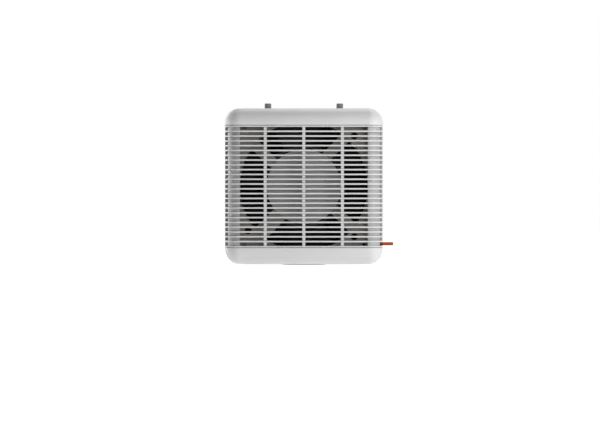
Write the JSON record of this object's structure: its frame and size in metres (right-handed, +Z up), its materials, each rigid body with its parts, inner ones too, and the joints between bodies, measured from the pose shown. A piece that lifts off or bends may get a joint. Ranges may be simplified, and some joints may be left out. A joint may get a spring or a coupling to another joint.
{
  "type": "compact box fan",
  "caption": "Small soft-edged box fan: slatted front round the corners, caps above and below, axial fan inside, mounting studs on top, round foot and a copper probe stub at the side.",
  "frame": {"origin": "centre of the foot pad's underside, on the floor", "axes": "+Z up, +X to the right as seen from the front, +Y from the front grille to the back; the fan's axis lies along Y"},
  "size_m": [0.1494, 0.0772, 0.1437],
  "materials": {
    "case_plastic": "fine-grained light grey moulding",
    "fan_casting": "warm grey coated casting",
    "hub_plate": "matt grey",
    "black_plastic": "matt black",
    "sheet_steel": "zinc-plated sheet",
    "zinc_steel": "zinc-plated",
    "stud_steel": "dark plated",
    "black_steel": "black oxide",
    "bearing_steel": "ground",
    "lamination": "laminated",
    "copper_wire": "enamelled wire",
    "copper": "bare copper",
    "ferrite": "sintered",
    "circuit_board": "solder mask",
    "black_rubber": "matt",
    "grey_rubber": "matt"
  },
  "bodies": {
    "housing": {"top_cap": "case_plastic", "bottom_cap": "case_plastic", "front_grille": "case_plastic", "rear_housing": "case_plastic", "rear_grille": "case_plastic", "rear_grille_screws": "zinc_steel", "fan_plate": "sheet_steel", "plate_screws": "zinc_steel", "fan_frame": "fan_casting", "hub_cover": "hub_plate", "fan_screws": "zinc_steel", "fan_nuts": "zinc_steel", "stator_core": "lamination", "stator_windings": "copper_wire", "motor_board": "circuit_board", "bearing_outer_rings": "bearing_steel", "ball_cages": "bearing_steel", "preload_washer": "bearing_steel", "tie_rods": "zinc_steel", "stud_strap": "sheet_steel", "stud_left": "stud_steel", "stud_right": "stud_steel", "strap_screws": "zinc_steel", "copper_probe": "copper", "probe_bush": "black_rubber", "foot_pad": "grey_rubber", "power_inlet": "black_plastic", "inlet_nut": "zinc_steel", "control_board": "circuit_board", "board_components": "black_plastic", "board_screws": "zinc_steel", "leads": "black_plastic"},
    "rotor": {"impeller": "black_plastic", "rotor_cup": "black_steel", "magnet_ring": "ferrite", "shaft": "bearing_steel", "bearing_inner_rings": "bearing_steel", "retaining_clip": "bearing_steel"}
  },
  "joints": [
    {"name": "fan_spin", "type": "hinge", "parent": "housing", "child": "rotor", "pos_m": [0, 0, 0.0698], "axis": [0, -1, 0], "continuous": true}
  ]
}
